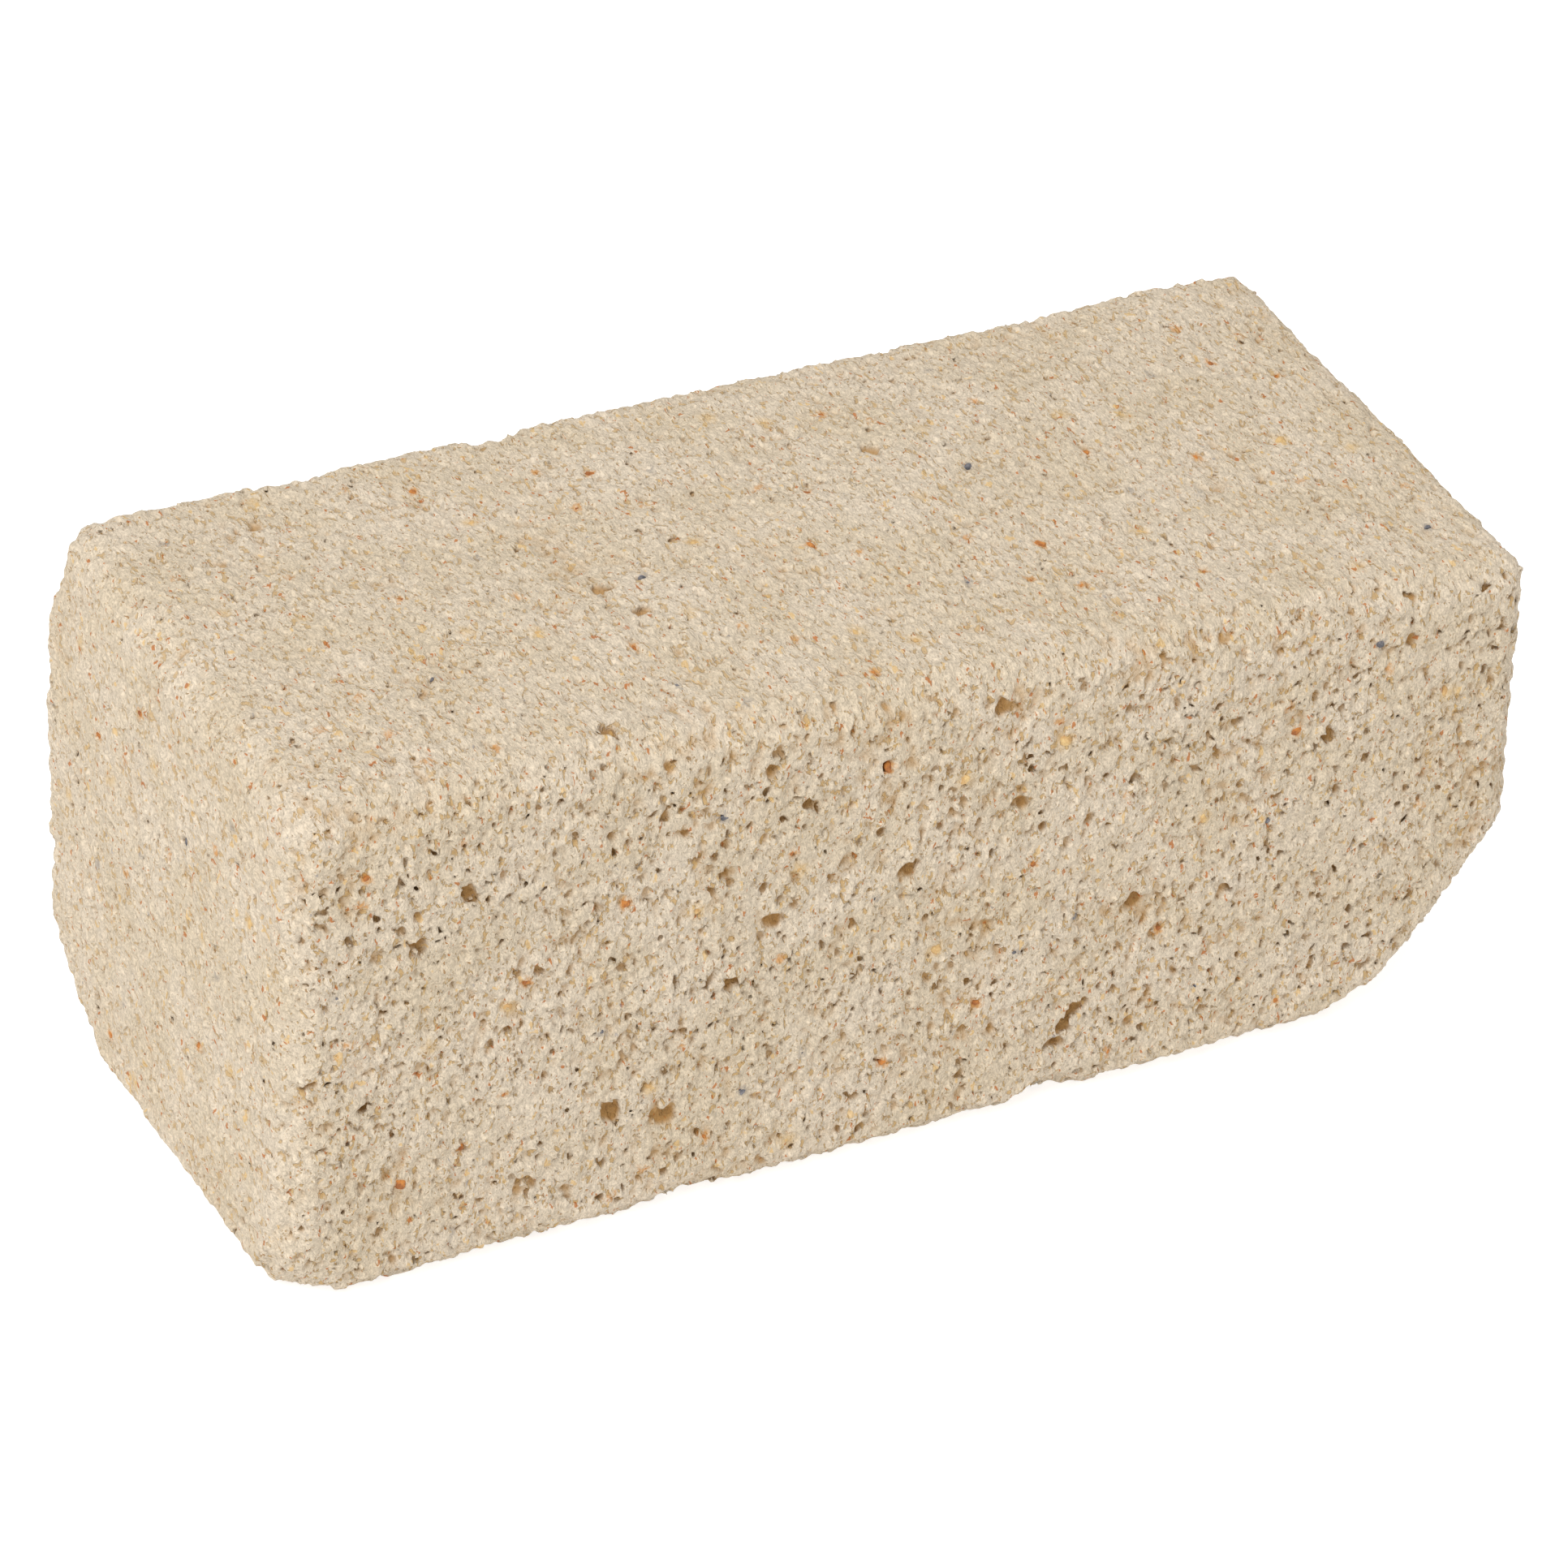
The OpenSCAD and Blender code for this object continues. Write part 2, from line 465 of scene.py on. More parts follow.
    def group(self, core: Object, coarse: dict[str, float]) -> NodeTree:
        """A node group that measures from the bar's rubbed and worn surface.

        It also finds how sharply the bar turns: 0 on a face, 1 on an edge and 1.4 on a corner, which wears
        most.

        Args:
            core: The helper mesh.
            coarse: How coarse the pores are on each side, by the side's axis and sign.

        Returns:
            A group that turns a place in millimetres into its distance outside the worn and chipped bar,
            and how coarse the nearest face is.
        """
        tree = new_tree("Sawn bar", {"Float": ("Distance", "Coarse")}, {"Vector": ("At",)})
        g = Graph(tree)
        at = g.add("NodeGroupInput").outputs[0]
        inner: Any = self.far_inside
        rough: Any = 0.0
        for out, level in self.faces:
            beyond = g.math("SUBTRACT", g.vector("DOT_PRODUCT", at, tuple(out)), level - self.rubbed_radius)
            inner = g.math("MAXIMUM", inner, beyond)
            axis = int(np.argmax(abs(out)))
            side = "xyz"[axis] + ("+" if out[axis] > 0 else "-")
            near = g.span(beyond, self.rubbed_radius - self.face_reach, self.rubbed_radius, 0.0, coarse[side])
            rough = g.math("MAXIMUM", rough, near)
        reach = g.add("GeometryNodeProximity", target_element="FACES")
        g.feed(reach.inputs[0], g.shape_of(core))
        g.feed(reach.inputs["Sample Position"], at)
        inside = g.math("LESS_THAN", inner, 0.0)
        pick = g.add("GeometryNodeSwitch", input_type="FLOAT")
        for socket, value in zip(pick.inputs, (inside, reach.outputs["Distance"], inner)):
            g.feed(socket, value)
        corner_gap = self.rubbed_radius * (1 - math.sqrt(0.5))
        edge = g.math("DIVIDE", g.math("SUBTRACT", pick.outputs[0], inner), corner_gap)
        up = g.parts_of(at)[2]
        wear = g.math("MULTIPLY_ADD", g.swing(at, self.wear_size, 3.0), 2.2 * self.edge_wear, self.edge_wear)
        wear = g.math("ADD", wear, g.span(up, *self.foot_wear_ends, self.foot_wear, 0.0))
        corner = g.math("MULTIPLY", g.math("MAXIMUM", g.math("SUBTRACT", edge, 1.0), 0.0), self.corner_wear)
        outside = g.math("SUBTRACT", pick.outputs[0], self.rubbed_radius)
        outside = g.math("ADD", outside, g.math("MULTIPLY_ADD", wear, edge, corner))
        for centre, radius in self.chips():
            bite = g.math("SUBTRACT", radius, g.vector("DISTANCE", at, tuple(centre)))
            outside = g.math("SMOOTH_MAX", outside, bite, self.chip_blend)
        end = g.add("NodeGroupOutput")
        for socket, value in zip(end.inputs, (outside, rough)):
            g.feed(socket, value)
        return tree


@dataclass(frozen=True)
class Relief:
    """One layer of bumps on the surface: how wide they are and how high, in millimetres."""

    size: float
    height: float


@dataclass(frozen=True)
class PoreSize:
    """One size of pore: a ball in about one of every few cells of a shaken lattice, in millimetres."""

    name: str
    cell: float
    smallest: float
    largest: float
    share: float


@dataclass(frozen=True)
class Hollow:
    """A large pit, given by its place along and up the front face, or along and back on the top."""

    along: float
    across: float
    radius: float
    on_top: bool = False


def link(obj: Object) -> Object:
    """Puts an object in the scene.

    Args:
        obj: The object.

    Returns:
        The same object.
    """
    bpy.context.scene.collection.objects.link(obj)
    return obj


def remove(obj: Object) -> None:
    """Takes a helper object and its mesh out of the file.

    Args:
        obj: The helper.
    """
    mesh = obj.data
    bpy.data.objects.remove(obj)
    bpy.data.meshes.remove(mesh)


def loose_points(name: str, places: Sequence[Sequence[float]], radii: Sequence[float]) -> Object:
    """A helper object of loose points, each with a radius.

    Args:
        name: The object's name.
        places: The points.
        radii: Their radii.

    Returns:
        The helper object.
    """
    mesh = bpy.data.meshes.new(name)
    mesh.from_pydata([tuple(p) for p in places], [], [])
    mesh.attributes.new("radius", "FLOAT", "POINT").data.foreach_set("value", list(radii))
    return link(bpy.data.objects.new(name, mesh))


def grown(name: str, tree: NodeTree, settings: dict[str, Any], finish: Material,
          start: Mesh | None = None) -> Mesh:
    """Runs a Geometry Nodes tree and keeps the mesh it makes.

    Args:
        name: The mesh's name.
        tree: The tree.
        settings: Its inputs, by name.
        finish: The only material that the mesh keeps.
        start: A mesh to start from, or nothing.

    Returns:
        The plain mesh.
    """
    helper = link(bpy.data.objects.new(name + "_helper", start or bpy.data.meshes.new(name + "_start")))
    modifier = helper.modifiers.new("Grow", "NODES")
    modifier.node_group = tree
    for item in tree.interface.items_tree:
        if item.item_type == "SOCKET" and item.in_out == "INPUT" and item.name in settings:
            modifier[item.identifier] = settings[item.name]
    graph = bpy.context.evaluated_depsgraph_get()
    mesh = bpy.data.meshes.new_from_object(helper.evaluated_get(graph))
    mesh.name = name
    mesh.materials.clear()
    mesh.materials.append(finish)
    remove(helper)
    return mesh


@dataclass
class PorousBlock:
    """The block's porous surface, grown as a few stretches along the bar that meet face to face."""

    bar: SawnBar
    cell: float = 0.23
    quick_cell: float = 0.4
    stretches: int = 9
    overlap: int = 3
    margin: float = 0.8
    proud: float = 0.12
    seed: float = 3.7
    stray_points: int = 600
    drawn_out: tuple[float, float, float] = (1.15, 0.75, 0.8)
    bend_size: float = 0.7
    bend: float = 0.85
    wave: Relief = Relief(8.0, 0.3)
    crumb: Relief = Relief(1.3, 0.52)
    granule: Relief = Relief(0.7, 0.42)
    rind: float = 0.45
    void_size: float = 0.68
    void_share: float = 0.315
    void_gain: float = 0.065
    void_width: float = 2.0
    void_blend: float = 0.1
    faces_that_way: float = 0.6
    pore_blend: float = 0.12
    pit_bend: float = 1.3
    pit_blend: float = 0.2
    pit_raggedness: float = 0.8
    pores: tuple[PoreSize, ...] = (
        PoreSize("Middle pore", 1.5, 0.12, 0.4, 0.65),
        PoreSize("Large pore", 6.0, 0.35, 0.65, 0.25),
    )
    hollows: tuple[Hollow, ...] = (
        Hollow(29.3, 8.8, 0.8), Hollow(24.9, 10.5, 0.9), Hollow(37.1, 23.4, 0.7), Hollow(47.5, 24.9, 0.7),
        Hollow(54.2, 36.5, 0.7), Hollow(66.6, 16.7, 0.7), Hollow(13.5, 32.5, 0.7), Hollow(9.9, 29.2, 0.55),
        Hollow(33.9, 19.0, 0.65), Hollow(33.2, 28.7, 0.55), Hollow(39.0, 32.6, 0.55),
        Hollow(81.8, 27.1, 0.65), Hollow(61.0, 5.8, 0.65), Hollow(61.6, 7.0, 0.7), Hollow(62.2, 8.2, 0.65),
        Hollow(36.3, 36.2, 0.55), Hollow(36.5, 37.6, 0.55), Hollow(74.3, 15.7, 0.55),
        Hollow(6.1, 16.5, 0.55), Hollow(56.5, 27.9, 0.55),
        Hollow(58.2, 27.6, 0.7, True), Hollow(32.1, 18.3, 0.65, True), Hollow(33.3, 14.5, 0.65, True),
        Hollow(9.0, 31.5, 0.55, True), Hollow(13.4, 35.6, 0.55, True), Hollow(25.0, 2.5, 0.7, True),
    )
    coarse: dict[str, float] = field(
        default_factory=lambda: {"y-": 1.0, "x+": 0.8, "z-": 0.8, "y+": 0.6, "z+": 0.42, "x-": 0.3}
    )

    def hollow_points(self) -> Object:
        """The listed pits as loose points with a radius, on the faces they are cut in.

        Returns:
            The helper object, in millimetres.
        """
        low, _ = (np.array(c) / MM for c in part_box(BLOCK_NODE))
        centres = []
        for hollow in self.hollows:
            if hollow.on_top:
                place, depth = np.array([low[0] + hollow.along, low[1] + hollow.across, 0.0]), 2
            else:
                place, depth = np.array([low[0] + hollow.along, 0.0, hollow.across]), 1
            sign = 1.0 if hollow.on_top else -1.0
            levels = [
                (level - out @ place) / out[depth]
                for out, level in self.bar.faces if out[depth] * sign > self.faces_that_way
            ]
            place[depth] = min(levels, key=lambda level: level * sign)
            centres.append(place)
        return loose_points("hollows", centres, [h.radius for h in self.hollows])

    def tree(self, distance: NodeTree, hollows: Object, grains: dict[GrainKind, Object],
             finish: Material) -> NodeTree:
        """The tree that grows one stretch of the block.

        Args:
            distance: The group that measures from the bar.
            hollows: The listed pits.
            grains: The places of each kind of grain, as loose points.
            finish: The block's material.

        Returns:
            The tree.
        """
        settings = self.settings()
        tree = new_tree("Porous stretch", {"Geometry": ("Stretch",)}, {
            "Vector": ("Low corner", "High corner"),
            "Int": ("Cells along", "Cells across", "Cells up", "Stray points"),
            "Float": [name for name, value in settings.items() if isinstance(value, float)],
        })
        g = Graph(tree)
        given = {s.name: s for s in g.add("NodeGroupInput").outputs}
        at = g.vector("SCALE", g.add("GeometryNodeInputPosition").outputs[0], 1.0 / MM)
        solid = self.solid_field(g, given, at, distance, hollows)
        cube = g.add("GeometryNodeVolumeCube")
        for name, value in (("Density", solid), ("Background", -1.0), ("Min", given["Low corner"]),
                            ("Max", given["High corner"]), ("Resolution X", given["Cells along"]),
                            ("Resolution Y", given["Cells across"]), ("Resolution Z", given["Cells up"])):
            g.feed(cube.inputs[name], value)
        skin = g.add("GeometryNodeVolumeToMesh")
        g.feed(skin.inputs["Volume"], cube.outputs[0])
        g.feed(skin.inputs["Threshold"], 0.0)
        geometry = self.without_strays(g, skin.outputs[0], given["Stray points"])
        geometry = self.marked(g, geometry, at, distance, grains)
        smooth = g.add("GeometryNodeSetShadeSmooth")
        g.feed(smooth.inputs["Geometry"], geometry)
        g.end(smooth.outputs[0], finish)
        return tree

    def solid_field(self, g: Graph, given: dict[str, NodeSocket], at: NodeSocket,
                    distance: NodeTree, hollows: Object) -> NodeSocket:
        """How deep a place is in solid matter, in millimetres: above 0 inside, below 0 in air or a pore.

        Args:
            g: The tree's writer.
            given: The tree's inputs.
            at: The place, in millimetres.
            distance: The group that measures from the bar.
            hollows: The listed pits.

        Returns:
            The depth.
        """
        shift = g.vector("SCALE", (17.3, 5.9, 11.7), given["Seed"])
        shake = g.vector("MULTIPLY_ADD", at, self.drawn_out, shift)
        measure = g.add("GeometryNodeGroup", node_tree=distance)
        g.feed(measure.inputs[0], at)
        outside, coarse = measure.outputs
        twist = g.twist(shake, self.bend_size, 0.55)
        bent = g.vector("ADD", shake, g.vector("SCALE", twist, self.bend))
        wave = g.math("MULTIPLY", g.swing(shake, self.wave.size, 2.0), given["Wave height"])
        crumb = g.math("MULTIPLY", g.swing(shake, self.crumb.size, 3.0, 0.6), given["Crumb height"])
        granule = g.math("MULTIPLY", g.swing(bent, self.granule.size, 1.0), given["Granule height"])
        relief = g.math("MULTIPLY", g.math("ADD", crumb, granule), g.math("MULTIPLY_ADD", coarse, 0.5, 0.6))
        depth = g.math("SUBTRACT", given["Proud"], outside)
        solid = g.math("ADD", depth, g.math("ADD", wave, relief))
        rind = g.math("MAXIMUM", g.math("SUBTRACT", depth, given["Rind"]), 0.0)
        openness = g.math("MULTIPLY_ADD", coarse, 0.55, 0.45)
        void = g.math("MULTIPLY_ADD", coarse, self.void_gain, given["Void share"])
        gap = g.math("SUBTRACT", g.noise(bent, self.void_size, 2.0, 0.55).outputs[0], void)
        wall = g.math("MULTIPLY_ADD", gap, given["Void width"], rind)
        solid = g.math("SMOOTH_MIN", solid, wall, self.void_blend)
        for pore in self.pores:
            cell = given[f"{pore.name} cell"]
            lattice = g.add("ShaderNodeTexVoronoi")
            g.feed(lattice.inputs["Vector"], bent)
            g.feed(lattice.inputs["Scale"], g.math("DIVIDE", 1.0, cell))
            chance = g.add("FunctionNodeSeparateColor")
            g.feed(chance.inputs[0], lattice.outputs["Color"])
            radius = g.add("ShaderNodeMapRange", clamp=True)
            ends = (given[f"{pore.name} smallest"], given[f"{pore.name} largest"])
            for socket, value in zip(radius.inputs, (chance.outputs[0], 0.0, 1.0, *ends)):
                g.feed(socket, value)
            present = g.math("LESS_THAN", chance.outputs[1], given[f"{pore.name} share"])
            size = g.math("MULTIPLY", g.math("MULTIPLY", radius.outputs[0], openness), present)
            wall = g.math("SUBTRACT", g.math("MULTIPLY", lattice.outputs["Distance"], cell), size)
            wall = g.math("ADD", wall, g.math("MULTIPLY", rind, 0.9))
            absent = g.math("SUBTRACT", 1.0, present)
            solid = g.math("SMOOTH_MIN", solid, g.math("ADD", wall, absent), self.pore_blend)
        pits = g.shape_of(hollows)
        wobble = g.vector("ADD", at, g.vector("SCALE", twist, self.pit_bend))
        nearest = g.add("GeometryNodeSampleNearest", domain="POINT")
        g.feed(nearest.inputs["Geometry"], pits)
        g.feed(nearest.inputs["Sample Position"], wobble)
        parts = []
        for kind, source in (("FLOAT_VECTOR", g.add("GeometryNodeInputPosition").outputs[0]),
                             ("FLOAT", g.named("radius"))):
            pick = g.add("GeometryNodeSampleIndex", data_type=kind, domain="POINT")
            for socket, value in zip(pick.inputs, (pits, source, nearest.outputs[0])):
                g.feed(socket, value)
            parts.append(pick.outputs[0])
        pit = g.math("SUBTRACT", g.vector("DISTANCE", wobble, parts[0]), parts[1])
        ragged = g.math("MULTIPLY_ADD", relief, self.pit_raggedness, pit)
        solid = g.math("SMOOTH_MIN", solid, ragged, self.pit_blend)
        return g.math("MINIMUM", solid, g.parts_of(at)[2])

    def without_strays(self, g: Graph, geometry: NodeSocket,
                       least: NodeSocket) -> NodeSocket:
        """Drops closed bubbles and loose crumbs, which nobody could see or hold.

        Args:
            g: The tree's writer.
            geometry: The grown surface.
            least: The fewest points that an island keeps.

        Returns:
            The surface in one island.
        """
        island = g.add("GeometryNodeInputMeshIsland")
        count = g.add("GeometryNodeAccumulateField", data_type="INT", domain="POINT")
        g.feed(count.inputs["Value"], 1)
        g.feed(count.inputs["Group ID"], island.outputs["Island Index"])
        few = g.add("FunctionNodeCompare", data_type="INT", operation="LESS_THAN")
        ints = [s for s in few.inputs if s.type == "INT"]
        g.feed(ints[0], count.outputs["Total"])
        g.feed(ints[1], least)
        drop = g.add("GeometryNodeDeleteGeometry", domain="POINT")
        g.feed(drop.inputs["Geometry"], geometry)
        g.feed(drop.inputs["Selection"], few.outputs[0])
        return drop.outputs[0]

    def marked(self, g: Graph, geometry: NodeSocket, at: NodeSocket,
               distance: NodeTree, grains: dict[GrainKind, Object]) -> NodeSocket:
        """Writes what the finish needs to know on the surface's points.

        Args:
            g: The tree's writer.
            geometry: The grown surface.
            at: The place, in millimetres.
            distance: The group that measures from the bar.
            grains: The places of each kind of grain.

        Returns:
            The surface with its attributes.
        """
        measure = g.add("GeometryNodeGroup", node_tree=distance)
        g.feed(measure.inputs[0], at)
        marks = {
            "sunk": g.math("MULTIPLY", measure.outputs["Distance"], -1.0),
            "coarse": measure.outputs["Coarse"],
        }
        for kind, points in grains.items():
            reach = g.add("GeometryNodeProximity", target_element="POINTS")
            g.feed(reach.inputs[0], g.shape_of(points))
            g.feed(reach.inputs["Sample Position"], at)
            marks[kind.near] = reach.outputs["Distance"]
        for name, value in marks.items():
            store = g.add("GeometryNodeStoreNamedAttribute", data_type="FLOAT", domain="POINT")
            g.feed(store.inputs["Geometry"], geometry)
            store.inputs["Name"].default_value = name
            g.feed([s for s in store.inputs if s.name == "Value"][0], value)
            geometry = store.outputs[0]
        return geometry

    def settings(self) -> dict[str, Any]:
        """The tree's inputs that are the same for every stretch.

        Returns:
            The inputs by name.
        """
        values: dict[str, Any] = {
            "Seed": self.seed, "Proud": self.proud, "Rind": self.rind, "Wave height": self.wave.height,
            "Crumb height": self.crumb.height, "Granule height": self.granule.height,
            "Void share": self.void_share, "Void width": self.void_width, "Stray points": self.stray_points,
        }
        for pore in self.pores:
            values[f"{pore.name} cell"] = pore.cell
            values[f"{pore.name} smallest"] = pore.smallest
            values[f"{pore.name} largest"] = pore.largest
            values[f"{pore.name} share"] = pore.share
        return values

    def dress(self, stretches: Sequence[Object]) -> None:
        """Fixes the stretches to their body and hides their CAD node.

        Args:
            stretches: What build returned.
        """
        for piece in stretches:
            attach(piece, BODY)
            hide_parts(BLOCK_NODE)
            LOG.info("%s: %d faces", piece.name, len(piece.data.polygons))

    def build(self, grains: dict[GrainKind, Object], finish: Material) -> list[Object]:
        """Grows the stretches and cuts them to meet. The two end ones are half as long as the rest.

        Args:
            grains: The places of each kind of grain.
            finish: The block's material.

        Returns:
            The stretches, from the left end to the right.
        """
        core = self.bar.core_object()
        hollows = self.hollow_points()
        tree = self.tree(self.bar.group(core, self.coarse), hollows, grains, finish)
        cell = self.cell
        low, high = (np.array(c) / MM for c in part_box(BLOCK_NODE))
        low, high = low - self.margin, high + self.margin
        cells = np.ceil((high - low) / cell).astype(int)
        inner = np.arange(self.stretches - 1) + 0.5
        marks = (np.concatenate(([0], inner / (self.stretches - 1), [1])) * cells[0]).astype(int)
        stretches = []
        for number, (first, last) in enumerate(zip(marks[:-1], marks[1:]), start=1):
            start, stop = max(first - self.overlap, 0), min(last + self.overlap, cells[0])
            corner = low + np.array([start, 0, 0]) * cell
            far = low + np.array([stop, cells[1], cells[2]]) * cell
            mesh = grown(f"chalk_stretch_{number}", tree, self.settings() | {
                "Low corner": tuple(corner * MM), "High corner": tuple(far * MM),
                "Cells along": int(stop - start) + 1, "Cells across": int(cells[1]) + 1,
                "Cells up": int(cells[2]) + 1,
            }, finish)
            cuts = [(low[0] + first * cell, -1.0)] * (number > 1)
            cuts += [(low[0] + last * cell, 1.0)] * (number < self.stretches)
            cut_flat(mesh, cuts)
            stretches.append(link(bpy.data.objects.new(mesh.name, mesh)))
        remove(core)
        remove(hollows)
        return stretches


def cut_flat(mesh: Mesh, cuts: Sequence[tuple[float, float]]) -> None:
    """Cuts a closed mesh across X and closes it with flat faces.

    Args:
        mesh: The mesh, changed in place.
        cuts: Each cut's place in millimetres, and the side that falls away, -1 or 1.
    """
    bm = bmesh.new()
    bm.from_mesh(mesh)
    for place, side in cuts:
        parts = bm.verts[:] + bm.edges[:] + bm.faces[:]
        cut = bmesh.ops.bisect_plane(
            bm, geom=parts, dist=1e-9, plane_co=(place * MM, 0, 0), plane_no=(side, 0, 0), clear_outer=True
        )
        rim = [e for e in cut["geom_cut"] if isinstance(e, bmesh.types.BMEdge)]
        caps = bmesh.ops.holes_fill(bm, edges=rim, sides=0)["faces"]
        for part in rim + caps:
            part.smooth = False
        bmesh.ops.triangulate(bm, faces=caps)
    bm.to_mesh(mesh)
    bm.free()


@dataclass
class GrainCluster:
    """All grains of one mineral: broken crystals, half sunk in the block where the CAD has them."""

    kind: GrainKind
    bulge: float = 1.05
    subdivisions: int = 2
    drawn_out: tuple[float, float] = (0.6, 1.2)
    jagged: float = 0.3
    jag_size: float = 0.3
    floor: float = 0.02
    seed: int = 5
    places: np.ndarray = field(default_factory=lambda: np.zeros((0, 3)))
    radii: np.ndarray = field(default_factory=lambda: np.zeros(0))

    def __post_init__(self) -> None:
        """Reads each grain's place and size from the CAD node's loose parts."""
        bm = bmesh.new()
        bm.from_mesh(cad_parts[self.kind.node].data)
        bmesh.ops.remove_doubles(bm, verts=bm.verts, dist=1e-7)
        todo, places, radii = set(bm.verts), [], []
        while todo:
            part, edge = set(), [todo.pop()]
            while edge:
                vert = edge.pop()
                part.add(vert)
                near = {e.other_vert(vert) for e in vert.link_edges} & todo
                todo -= near
                edge += near
            points = np.array([v.co for v in part]) / MM
            places.append((points.min(axis=0) + points.max(axis=0)) / 2)
            radii.append(float(np.ptp(points, axis=0).max()) / 2)
        bm.free()
        order = np.lexsort(np.round(np.array(places), 3).T)
        self.places, self.radii = np.array(places)[order], np.array(radii)[order]

    def points(self) -> Object:
        """The grains' places as a helper, in millimetres.

        Returns:
            The helper object, of loose points with a radius.
        """
        return loose_points(self.kind.node + "_places", self.places, self.radii)

    def tree(self, finish: Material) -> NodeTree:
        """The tree that sets a broken crystal on every point.

        Args:
            finish: The mineral's material.

        Returns:
            The tree.
        """
        tree = new_tree(f"Crystals {self.kind.name.lower()}", {"Geometry": ("Crystals",)}, {
            "Geometry": ("Places",), "Int": ("Seed",), "Float": ("Bulge", "Jagged", "Floor"),
        })
        g = Graph(tree)
        given = {s.name: s for s in g.add("NodeGroupInput").outputs}
        ball = g.add("GeometryNodeMeshIcoSphere")
        g.feed(ball.inputs["Radius"], 1.0)
        g.feed(ball.inputs["Subdivisions"], self.subdivisions)
        turn = g.random(0.0, math.tau, given["Seed"])
        stretch = g.random(*self.drawn_out, given["Seed"])
        size = g.vector("SCALE", stretch, g.math("MULTIPLY", g.named("radius"), given["Bulge"]))
        scatter = g.add("GeometryNodeInstanceOnPoints")
        for name, value in (("Points", given["Places"]), ("Instance", ball.outputs[0]),
                            ("Rotation", turn), ("Scale", size)):
            g.feed(scatter.inputs[name], value)
        real = g.add("GeometryNodeRealizeInstances")
        g.feed(real.inputs[0], scatter.outputs[0])
        where = g.add("GeometryNodeInputPosition").outputs[0]
        push = g.vector("SUBTRACT", g.noise(where, self.jag_size, 1.0).outputs["Color"], HALF)
        move = g.add("GeometryNodeSetPosition")
        g.feed(move.inputs["Geometry"], real.outputs[0])
        g.feed(move.inputs["Offset"], g.vector("SCALE", push, given["Jagged"]))
        along, across, up = g.parts_of(g.add("GeometryNodeInputPosition").outputs[0])
        above = g.add("ShaderNodeCombineXYZ")
        for socket, value in zip(above.inputs, (along, across, g.math("MAXIMUM", up, given["Floor"]))):
            g.feed(socket, value)
        rest = g.add("GeometryNodeSetPosition")
        g.feed(rest.inputs["Geometry"], move.outputs[0])
        g.feed(rest.inputs["Position"], above.outputs[0])
        small = g.add("GeometryNodeTransform")
        g.feed(small.inputs["Geometry"], rest.outputs[0])
        g.feed(small.inputs["Scale"], (MM, MM, MM))
        g.end(small.outputs[0], finish)
        return tree

    def dress(self, crystals: Object) -> None:
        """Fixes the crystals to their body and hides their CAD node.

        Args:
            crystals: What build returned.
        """
        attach(crystals, BODY)
        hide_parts(self.kind.node)
        LOG.info("%s: %d faces", crystals.name, len(crystals.data.polygons))

    def build(self, finish: Material) -> Object:
        """Makes the crystals.

        Args:
            finish: The mineral's material.

        Returns:
            All crystals as one piece.
        """
        helper = self.points()
        settings = {"Seed": self.seed, "Bulge": self.bulge, "Jagged": self.jagged, "Floor": self.floor}
        mesh = grown(self.kind.node + "_crystals", self.tree(finish), settings, finish, helper.data.copy())
        remove(helper)
        return link(bpy.data.objects.new(mesh.name, mesh))


@dataclass(frozen=True)
class MineralFinish:
    """What the stone and the grains share: a rough surface with a fine relief. Colours are linear."""

    name: str = "mineral"
    roughness: float = 0.8
    gloss: float = 0.5
    relief: float = 0.15
    relief_strength: float = 0.8

    def material(self) -> Material:
        """Writes the material.

        Returns:
            The material.
        """
        made = bpy.data.materials.new(self.name)
        made.use_nodes = True
        made.node_tree.nodes.clear()
        g = Graph(made.node_tree)
        at = g.vector("SCALE", g.add("ShaderNodeTexCoord").outputs["Object"], 1.0 / MM)
        colour, height = self.pattern(g, at)
        bump = g.add("ShaderNodeBump")
        bump.inputs["Strength"].default_value = self.relief_strength
        bump.inputs["Distance"].default_value = self.relief * MM
        g.feed(bump.inputs["Height"], height)
        shader = g.add("ShaderNodeBsdfPrincipled")
        g.feed(shader.inputs["Base Color"], colour)
        g.feed(shader.inputs["Normal"], bump.outputs[0])
        shader.inputs["Roughness"].default_value = self.roughness
        shader.inputs["Specular IOR Level"].default_value = self.gloss
        g.feed(g.add("ShaderNodeOutputMaterial").inputs["Surface"], shader.outputs[0])
        return made

    def pattern(self, g: Graph, at: NodeSocket) -> tuple[NodeSocket, NodeSocket]:
        """The mineral's colour and the height of its relief.

        Args:
            g: The material's writer.
            at: The place, in millimetres.

        Returns:
            The colour and the height.
        """
        raise NotImplementedError

    @staticmethod
    def mixed(g: Graph, share: Any, first: Any, second: Any) -> NodeSocket:
        """Two colours mixed.

        Args:
            g: The material's writer.
            share: How much of the second.
            first: A colour or a socket.
            second: A colour or a socket.

        Returns:
            The mixed colour.
        """
        node = g.add("ShaderNodeMix", data_type="RGBA")
        g.feed(node.inputs[0], share)
        for socket, value in zip(node.inputs[6:8], (first, second)):
            g.feed(socket, value if isinstance(value, NodeSocket) else (*value, 1.0))
        return node.outputs[2]


@dataclass(frozen=True)
class Halo:
    """The stain in the stone round each grain of one mineral, and how far it reaches in millimetres."""

    kind: GrainKind
    stain: Colour
    reach: float
    strength: float


@dataclass(frozen=True)
class Speck:
    """A scattering of small stains. The higher its start, the rarer they are."""

    size: float
    start: float
    stain: Colour
    strength: float


